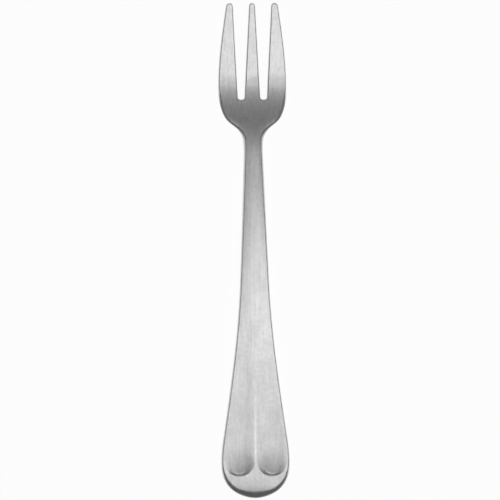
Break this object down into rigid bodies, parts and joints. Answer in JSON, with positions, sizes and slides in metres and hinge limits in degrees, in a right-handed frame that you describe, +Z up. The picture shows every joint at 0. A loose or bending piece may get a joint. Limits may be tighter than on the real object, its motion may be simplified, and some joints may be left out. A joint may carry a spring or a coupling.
{
  "type": "oyster fork",
  "caption": "Small tined fork for lifting oysters and shellfish, with round shoulders, a slim stem and a flared handle with coined panels at its end.",
  "frame": {"origin": "middle of the fork's box, on the table that it lies on", "axes": "+Y from the handle end to the tine tips, +Z up from the table, +X to the right when looking from the handle to the tips"},
  "size_m": [0.0198, 0.143, 0.0061],
  "materials": {
    "steel": "satin, tumbled stainless steel, neutral grey"
  },
  "bodies": {
    "root": {"handle_end": "steel", "handle": "steel", "stem": "steel", "neck": "steel", "palm": "steel", "tine_left": "steel", "tine_centre": "steel", "tine_right": "steel"}
  },
  "joints": []
}
